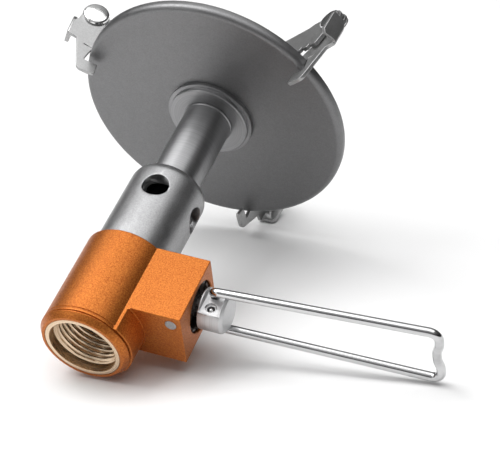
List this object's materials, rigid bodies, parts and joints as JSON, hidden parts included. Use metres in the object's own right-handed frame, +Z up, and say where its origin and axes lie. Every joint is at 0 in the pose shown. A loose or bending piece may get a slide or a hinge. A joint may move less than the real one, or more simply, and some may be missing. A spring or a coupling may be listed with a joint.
{
  "type": "canister stove",
  "caption": "Compact screw-on gas stove with a valve block, wire control handle, slim mixing tube, round burner pan and folding toothed pot supports.",
  "frame": {"origin": "on the stove axis, at the mouth of the canister thread", "axes": "+Z up from the canister to the pot supports, +X along the valve block to the wire handle"},
  "size_m": [0.0836, 0.0534, 0.0659],
  "materials": {
    "orange_anodised": "bead-blasted anodising",
    "brass": "machined",
    "rubber": "matte",
    "stainless": "machined",
    "sintered_bronze": "sintered",
    "pin_steel": "matte",
    "chrome": "satin plated",
    "blackened_steel": "blackened",
    "wire_steel": "polished",
    "grey_aluminium": "bead-blasted",
    "grey_tube": "turned",
    "grey_turned": "turned",
    "blasted_titanium": "bead-blasted",
    "support_sheet": "satin sheet",
    "rivet_steel": "polished"
  },
  "bodies": {
    "stove": {"valve_body": "orange_anodised", "thread_insert": "brass", "canister_seal": "rubber", "probe_pin": "stainless", "inlet_filter": "sintered_bronze", "nut_lock_pin": "pin_steel", "packing_nut": "blackened_steel", "spindle_o_ring": "rubber", "gas_jet": "brass", "air_barrel": "grey_aluminium", "burner_tube": "grey_tube", "burner_flange": "grey_turned", "burner_pan": "blasted_titanium", "gas_spreader": "stainless", "burner_cap": "blasted_titanium", "support_bracket_1": "support_sheet", "support_rivet_1": "rivet_steel", "support_washer_1": "stainless", "support_bracket_2": "support_sheet", "support_rivet_2": "rivet_steel", "support_washer_2": "stainless", "support_bracket_3": "support_sheet", "support_rivet_3": "rivet_steel", "support_washer_3": "stainless"},
    "spindle": {"valve_spindle": "stainless"},
    "hub": {"handle_hub": "chrome", "hub_pin": "stainless"},
    "handle": {"wire_handle": "wire_steel"},
    "arm_1": {"support_arm_1": "support_sheet"},
    "arm_2": {"support_arm_2": "support_sheet"},
    "arm_3": {"support_arm_3": "support_sheet"}
  },
  "joints": [
    {"name": "spindle_advance", "type": "slide", "parent": "stove", "child": "spindle", "axis": [1, 0, 0], "range_m": [0, 0.0015]},
    {"name": "hub_turn", "type": "hinge", "parent": "spindle", "child": "hub", "pos_m": [0.017, 0, 0.01325], "axis": [1, 0, 0], "range_deg": [0, 1080]},
    {"name": "handle_fold", "type": "hinge", "parent": "hub", "child": "handle", "pos_m": [0.0168, 0, 0.0145], "axis": [0, -1, 0], "range_deg": [-92, 87]},
    {"name": "arm_1_fold", "type": "hinge", "parent": "stove", "child": "arm_1", "pos_m": [0.00482, 0.02628, 0.0635], "axis": [-0.9836, 0.1805, 0], "range_deg": [0, 180]},
    {"name": "arm_2_fold", "type": "hinge", "parent": "stove", "child": "arm_2", "pos_m": [-0.02517, -0.00896, 0.0635], "axis": [0.3355, -0.9421, 0], "range_deg": [0, 180]},
    {"name": "arm_3_fold", "type": "hinge", "parent": "stove", "child": "arm_3", "pos_m": [0.02035, -0.01732, 0.0635], "axis": [0.6481, 0.7615, 0], "range_deg": [0, 180]}
  ],
  "couplings": [
    {"joint": "spindle_advance", "follows": "hub_turn", "m_per_rad": 0.000079577}
  ]
}
